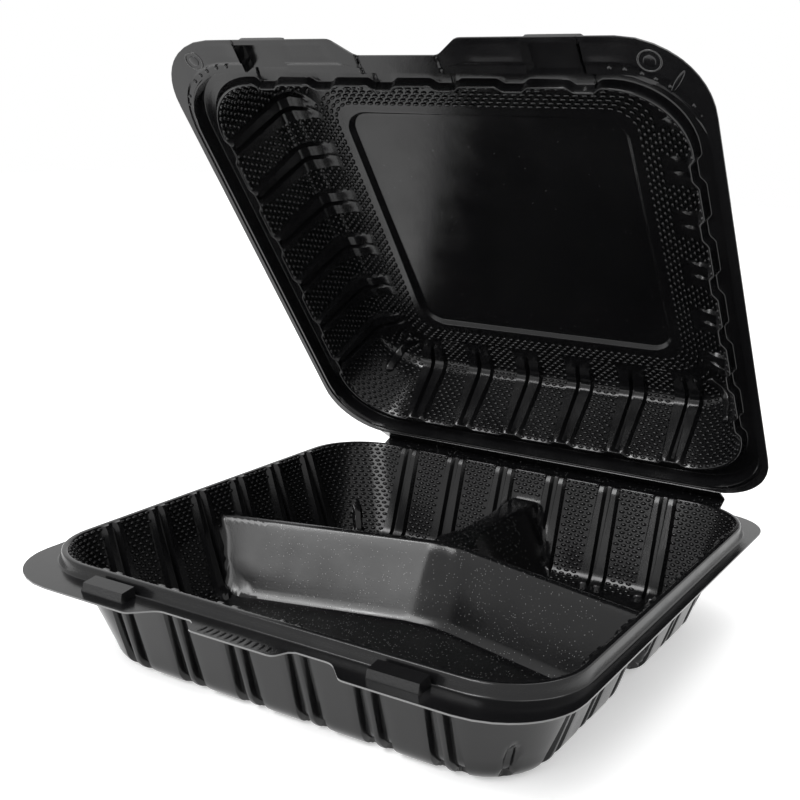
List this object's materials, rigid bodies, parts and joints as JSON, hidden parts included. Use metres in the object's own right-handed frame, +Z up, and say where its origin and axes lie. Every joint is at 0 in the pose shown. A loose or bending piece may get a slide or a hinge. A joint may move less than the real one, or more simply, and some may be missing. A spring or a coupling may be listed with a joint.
{
  "type": "hinged food container",
  "caption": "Square clamshell takeaway container with a ribbed, divided base tray and a ribbed domed lid on a living hinge.",
  "frame": {"origin": "middle of the foot, which is the underside of the front compartment's floor", "axes": "+X along the front edge to the right, +Y from the front to the hinge, +Z up; stored with the lid open by 52 degrees"},
  "size_m": [0.2254, 0.2486, 0.2346],
  "materials": {
    "base_tray": "black moulded sheet with a satin shine",
    "lid": "black moulded sheet with a satin shine"
  },
  "bodies": {
    "base": {"base_tray": "base_tray"},
    "lid_body": {"lid": "lid"}
  },
  "joints": [
    {"name": "lid_hinge", "type": "hinge", "parent": "base", "child": "lid_body", "pos_m": [0, 0.1202, 0.04425], "axis": [-1, 0, 0], "range_deg": [-52, 128]}
  ]
}
